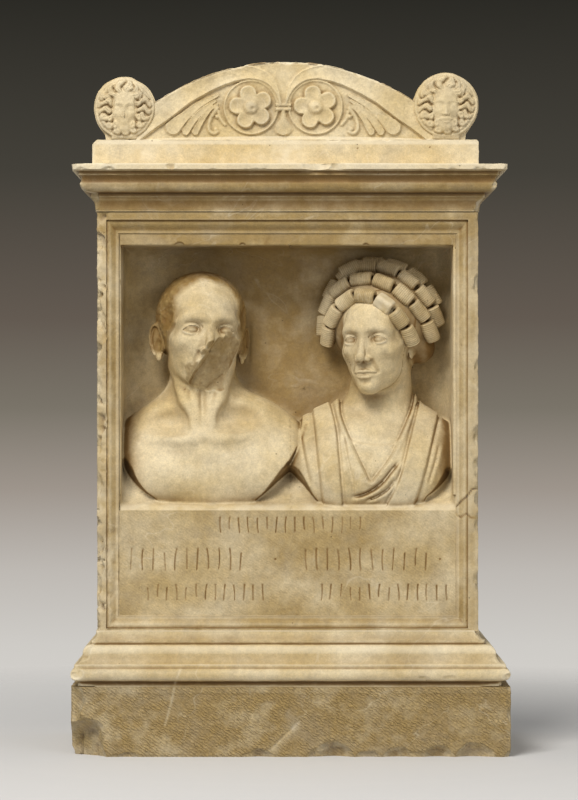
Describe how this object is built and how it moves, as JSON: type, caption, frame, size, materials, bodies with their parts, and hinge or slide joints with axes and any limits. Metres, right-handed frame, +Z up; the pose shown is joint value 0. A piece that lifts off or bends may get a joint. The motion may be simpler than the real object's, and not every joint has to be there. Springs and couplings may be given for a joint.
{
  "type": "funerary altar",
  "caption": "Carved marble grave altar with two portrait busts in a framed niche over an inscription panel, moulded base and cornice, and an arched crown between bolster ends.",
  "frame": {"origin": "centre of the bounding box at the underside of the plinth, where the altar stands on its support", "axes": "+Z up, the carved front faces -Y, the flat back faces +Y, +X to the viewer's right"},
  "size_m": [0.637, 0.345, 1.0075],
  "materials": {
    "marble": "weathered"
  },
  "bodies": {
    "root": {"altar": "marble"}
  },
  "joints": []
}
